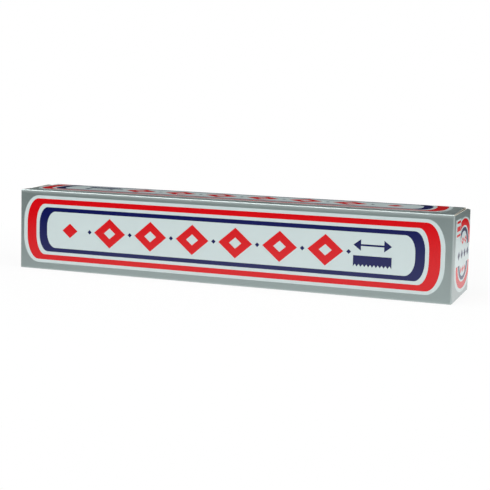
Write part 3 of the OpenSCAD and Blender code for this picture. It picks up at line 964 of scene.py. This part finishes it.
@dataclass
class FoilRoll:
    """The wound foil, its slack outer turn and the fine turns on its end faces."""

    finishes: Finishes
    around: int = 168
    along: int = 120
    dent: float = 0.05 * MM
    dent_waves: Pair = (55.0, 1.3)
    step: float = 0.12 * MM
    turn_gap: float = 0.42 * MM
    first_gap: float = 0.5 * MM
    bare: float = 1.2 * MM
    ring_width: float = 0.24 * MM
    stagger: float = 0.14 * MM
    end_clear: float = 0.25 * MM
    bore_clear: float = 0.02 * MM
    loose_deg: float = 50.0

    def build(self) -> list[bpy.types.Object]:
        """Returns the winding and the turns on its end faces."""
        low, high = (Vector(c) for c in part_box("foil_roll"))
        core_low, core_high = (Vector(c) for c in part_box("core_tube"))
        centre = (core_low + core_high) / 2
        bore = (core_high.z - core_low.z) / 2
        radius = (high.y - low.y) / 2
        half = (high.x - low.x) / 2
        return [self.winding(centre, bore, radius, half), self.end_turns(centre, bore, radius, half)]

    def winding(self, centre: Vector, bore: float, radius: float, half: float) -> bpy.types.Object:
        """Returns the body of the roll, its radius falling by one step on the way round."""
        work = bmesh.new()
        body_half = half - self.end_clear
        loose = math.radians(self.loose_deg)
        turns = [2 * math.pi * j / self.around for j in range(self.around + 1)]
        rings = []
        along, across = self.dent_waves
        for i in range(self.along + 1):
            x = body_half * (2 * i / self.along - 1)
            ring = []
            for j, turn in enumerate(turns):
                place = Vector((x * along, math.cos(turn) * across, math.sin(turn) * across))
                wave = noise.noise(place)
                reach = radius - self.step * j / self.around - self.dent * (0.5 + 0.5 * wave)
                ring.append(work.verts.new(spot(centre, x, reach, loose + turn)))
            rings.append(ring)
        turns[-1] -= 1e-4
        reach = bore + self.bore_clear
        bores = [[work.verts.new(spot(centre, x, reach, loose + turn)) for turn in turns]
                 for x in (-body_half, body_half)]
        skin(work, [bores[0]] + rings + [bores[1], bores[0]])
        return tube(work, "foil_winding", self.finishes.foil)

    def end_turns(self, centre: Vector, bore: float, radius: float, half: float) -> bpy.types.Object:
        """Returns thin rings on both end faces, one for each bundle of turns."""
        count = int((radius - bore - self.bare) / self.turn_gap)
        tree = ShapeNodes("end_turns")
        gap = tree.size("Turn gap", self.turn_gap)
        turns = tree.size("Turns", count, whole=True)
        first = tree.size("First radius", bore + self.first_gap)
        face = tree.size("Face", half - self.end_clear)
        stagger = tree.size("Stagger", self.stagger)
        wire = tree.size("Ring width", self.ring_width)
        index = tree.node("GeometryNodeInputIndex")
        ring = (index * 0.5).maths("FLOOR")
        side = index.maths("MODULO", 2.0) * 2.0 - 1.0
        line = tree.node("GeometryNodeMeshLine", {"mode": "OFFSET"}, {"Count": turns * 2.0})
        shift = tree.node("FunctionNodeRandomValue", {"data_type": "FLOAT"},
                          {"Min": 0.0, "Max": 1.0, "Seed": 7}, 1)
        placed = tree.node("GeometryNodeSetPosition", {}, {
            "Geometry": line,
            "Position": tree.vector(side * (face + stagger * shift * 0.8), centre.y, centre.z)})
        circle = tree.node("GeometryNodeCurvePrimitiveCircle", {"mode": "RADIUS"},
                           {"Resolution": 96, "Radius": 1.0})
        upright = tree.node("GeometryNodeTransform", {},
                            {"Geometry": circle, "Rotation": (0.0, math.pi / 2, 0.0)})
        reach = first + ring * gap
        rings = tree.node("GeometryNodeInstanceOnPoints", {},
                          {"Points": placed, "Instance": upright,
                           "Scale": tree.vector(reach, reach, reach)})
        real = tree.node("GeometryNodeRealizeInstances", {}, {0: rings})
        profile = tree.node("GeometryNodeCurvePrimitiveQuadrilateral", {"mode": "RECTANGLE"},
                            {"Width": wire, "Height": wire})
        tubes = tree.node("GeometryNodeCurveToMesh", {}, {"Curve": real, "Profile Curve": profile})
        tree.close_real(tubes, self.finishes.foil)
        return tree.run(plain_object("foil_end_turns", bpy.data.meshes.new("foil_end_turns")), 50.0)


@dataclass
class PaperCore:
    """Spiral-wound paper tube with slightly broken edges."""

    edge: float = 0.25 * MM
    wall: float = 2.5 * MM
    around: int = 96

    def build(self) -> bpy.types.Object:
        """Returns the core tube."""
        low, high = (Vector(c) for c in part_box("core_tube"))
        centre = (low + high) / 2
        outer = (high.z - low.z) / 2
        inner = outer - self.wall
        half = (high.x - low.x) / 2
        section = [(-half + self.edge, outer), (half - self.edge, outer), (half, outer - self.edge),
                   (half, inner + self.edge), (half - self.edge, inner), (-half + self.edge, inner),
                   (-half, inner + self.edge), (-half, outer - self.edge)]
        work = bmesh.new()
        rings = []
        for j in range(self.around):
            turn = 2 * math.pi * j / self.around
            rings.append([work.verts.new(spot(centre, x, reach, turn)) for x, reach in section])
        skin(work, rings + rings[:1])
        return tube(work, "paper_core", SpiralPaper().build(centre))


@dataclass(frozen=True)
class Lamp:
    """A soft area lamp that looks at the part; only the sky shows in reflections."""

    name: str
    place: Triple
    size: Pair
    watts: float

    def build(self) -> None:
        """Adds the lamp to the scene."""
        light = bpy.data.lights.new(self.name, "AREA")
        light.shape = "RECTANGLE"
        light.size, light.size_y = self.size
        light.energy = self.watts
        lamp = bpy.data.objects.new(self.name, light)
        lamp.visible_glossy = False
        lamp.location = self.place
        aim = Vector((0, 0, 0.03)) - Vector(self.place)
        lamp.rotation_euler = aim.to_track_quat("-Z", "Y").to_euler()
        bpy.context.scene.collection.objects.link(lamp)


@dataclass
class Studio:
    """Floor, world, lamps and the camera at the photograph's angle."""

    lamps: tuple[Lamp, ...] = (
        Lamp("key", (-0.25, -0.35, 0.95), (1.1, 0.9), 5.9),
        Lamp("fill_front", (-0.22, -1.1, 0.55), (0.9, 0.6), 4.95),
        Lamp("fill_right", (1.05, -0.1, 0.6), (0.7, 0.7), 7.2),
    )
    floor_reach: float = 0.52
    floor_drop: float = 0.02 * MM
    shadow_share: float = 0.12
    shadow_edge: Pair = (0.18, 0.34)
    pool_at: Triple = (0.14, 0.0, 0.0)
    pool_shape: Triple = (0.7, 1.0, 0.0)
    pool_edge: Pair = (0.46, 0.15)
    sky_low: float = 0.03
    sky_high: float = 0.55
    sky_rise: Pair = (0.15, 0.9)
    sky_side: float = 0.8
    side_edge: Pair = (0.75, 0.95)
    sky_even: float = 0.33
    strip_aside: float = 0.17
    strip_glow: float = 13.0
    strip_edge: Pair = (0.24, 0.06)
    strip_end: Pair = (-0.05, -0.2)
    strip_foot: Pair = (0.72, 0.8)
    frame_px: int = 490
    lens_px: float = 1036.35
    axis_column_px: float = 245.5
    axis_row_px: float = 180.5
    sensor_mm: float = 36.0
    azimuth_deg: float = 19.386
    elevation_deg: float = 4.599
    roll_deg: float = 1.384
    camera_at: Triple = (0.24275, -0.67017, 0.12595)

    def build(self) -> None:
        """Sets up everything that isn't part of the object."""
        self.floor()
        self.world()
        for lamp in self.lamps:
            lamp.build()
        self.camera()

    def floor_finish(self) -> bpy.types.Material:
        """Returns the floor's material: white but for a shadow, and a pool of light in gloss."""
        shader = Shader("pale_floor")
        seen = shader.node("ShaderNodeLightPath", {}, {}, "Is Camera Ray")
        gloss = seen.sibling("Is Glossy Ray")
        clear = seen.sibling("Is Transmission Ray")
        outward = shader.vector_maths("LENGTH", shader.place)
        lit = (1.0 - self.shadow_share) + self.shadow_share * outward.ramp(*self.shadow_edge)
        aside = shader.vector_maths("SUBTRACT", shader.place, self.pool_at)
        away = shader.vector_maths("LENGTH", shader.vector_maths("MULTIPLY", aside, self.pool_shape))
        unlit = gloss * (1.0 - away.ramp(*self.pool_edge))
        glow = shader.blend(unlit, (1.0, 1.0, 1.0), (0.0, 0.0, 0.0))
        share = seen * lit + gloss + clear
        card = shader.node("ShaderNodeBsdfDiffuse", {}, {"Color": (0.86, 0.87, 0.87, 1.0)})
        white = shader.node("ShaderNodeEmission", {}, {"Color": glow, "Strength": 1.0})
        both = shader.node("ShaderNodeMixShader", {}, {0: share, 1: card, 2: white})
        shader.node("ShaderNodeOutputMaterial", {}, {"Surface": both})
        return shader.material

    def floor(self) -> None:
        """Adds a round pale floor just under the part."""
        work = bmesh.new()
        bmesh.ops.create_circle(work, cap_ends=True, segments=96, radius=self.floor_reach)
        floor = plain_object("floor", fresh_mesh(work, "floor", self.floor_finish()))
        floor.location.z = -self.floor_drop

    def world(self) -> None:
        """Lights the part evenly and shows the camera a white background."""
        world = bpy.data.worlds.new("studio")
        bpy.context.scene.world = world
        world.use_nodes = True
        graph = Graph(world.node_tree)
        seen = graph.node("ShaderNodeLightPath", {}, {}, "Is Camera Ray")
        glossy = seen.sibling("Is Glossy Ray")
        right, back, height = graph.parts(graph.node("ShaderNodeTexCoord", {}, {}, "Generated"))
        across = (back - self.strip_aside).maths("ABSOLUTE").ramp(*self.strip_edge)
        strip = across * right.ramp(*self.strip_end) * height.ramp(*self.strip_foot)
        dome = self.sky_low + (self.sky_high - self.sky_low) * height.ramp(*self.sky_rise)
        sky = dome + self.strip_glow * strip + self.sky_side * right.ramp(*self.side_edge)
        strength = seen + (1.0 - seen) * (glossy * sky + (1.0 - glossy) * self.sky_even)
        shown = graph.node("ShaderNodeBackground", {},
                           {"Color": (1.0, 1.0, 1.0, 1.0), "Strength": strength})
        graph.node("ShaderNodeOutputWorld", {}, {"Surface": shown})

    def camera(self) -> None:
        """Places the camera where the photograph was taken from."""
        data = bpy.data.cameras.new("camera")
        data.sensor_width = self.sensor_mm
        data.lens = self.lens_px / self.frame_px * self.sensor_mm
        data.shift_x = (self.frame_px / 2 - self.axis_column_px) / self.frame_px
        data.shift_y = (self.axis_row_px - self.frame_px / 2) / self.frame_px
        data.clip_start = 0.01
        camera = bpy.data.objects.new("camera", data)
        camera.location = self.camera_at
        look = Euler((math.radians(90 - self.elevation_deg), 0, math.radians(self.azimuth_deg)))
        roll = Matrix.Rotation(math.radians(self.roll_deg), 3, "Z")
        camera.rotation_euler = (look.to_matrix() @ roll).to_euler()
        bpy.context.scene.collection.objects.link(camera)
        bpy.context.scene.camera = camera


@dataclass(frozen=True)
class Seat:
    """How a finished piece is tied to the frame."""

    body: str
    node: str
    slot: str

    def take(self, piece: bpy.types.Object) -> None:
        """Ties the piece to its body and hides the node that it stands for."""
        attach(piece, self.body)
        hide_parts(self.node)
        faces = len(piece.data.polygons)
        log.info("%s rides on %s for %s: %d faces", piece.name, self.body, self.node, faces)


def dress_print(nodes: dict, finishes: Finishes) -> None:
    """Gives each printed field of the frame its ink."""
    for carrier in ("tray", "lid"):
        for ink, material in finishes.inks.items():
            name = f"{carrier}_print_{ink.value}"
            for slot in nodes[name].material_slots:
                slot.material = material
            log.info("%s printed with %s", name, material.name)


def main() -> None:
    """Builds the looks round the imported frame."""
    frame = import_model()
    bpy.context.scene.view_settings.view_transform = "Standard"
    Studio().build()
    finishes = Finishes()
    sizes = CartonSizes.from_frame()
    dress_print(frame["nodes"], finishes)
    Seat("carton", "carton_tray", "card").take(CartonTray(sizes, finishes).build())
    Seat("lid", "carton_lid", "card").take(CartonLid(sizes, finishes).build())
    navy = frame["nodes"]["lid_print_navy"]
    Seat("lid", "lid_print_navy", "ink_navy").take(LidNavy(sizes, finishes).build(navy))
    Seat("lid", "cutter_blade", "blade").take(CutterStrip(finishes).build())
    Seat("carton", "core_tube", "core").take(PaperCore().build())
    for piece in FoilRoll(finishes).build():
        Seat("carton", "foil_roll", "foil").take(piece)


if __name__ == "__main__":
    logging.basicConfig(level=logging.INFO, format="%(name)s: %(message)s")
    main()
